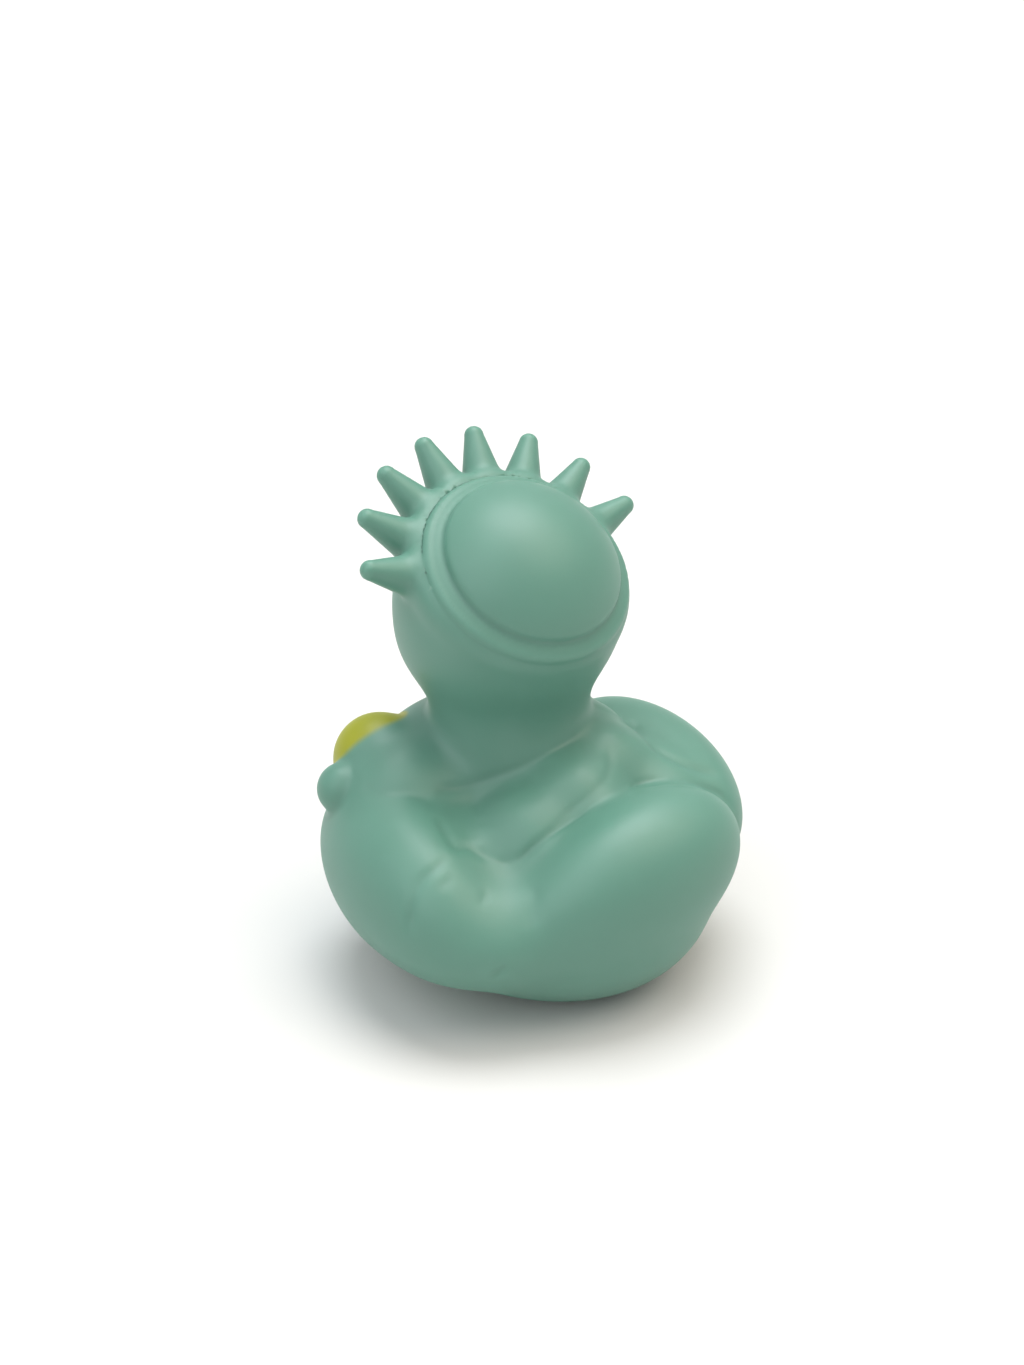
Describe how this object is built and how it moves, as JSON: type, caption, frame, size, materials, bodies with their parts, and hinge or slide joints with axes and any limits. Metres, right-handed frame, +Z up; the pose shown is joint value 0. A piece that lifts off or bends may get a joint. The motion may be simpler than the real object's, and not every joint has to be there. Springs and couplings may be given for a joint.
{
  "type": "rubber duck",
  "caption": "Hollow moulded vinyl bath duck with a rayed crown, a draped shawl, folded wings and a flat base with a vent hole.",
  "frame": {"origin": "on the floor under the middle of the duck's outline", "axes": "+Z up; the duck looks along -Y, so +Y is towards its tail and +X is its left side"},
  "size_m": [0.0831, 0.0803, 0.0996],
  "materials": {
    "vinyl": "satin moulded vinyl in pale mint green, with sprayed yellow on the ball and bill"
  },
  "bodies": {
    "root": {"duck": "vinyl"}
  },
  "joints": []
}
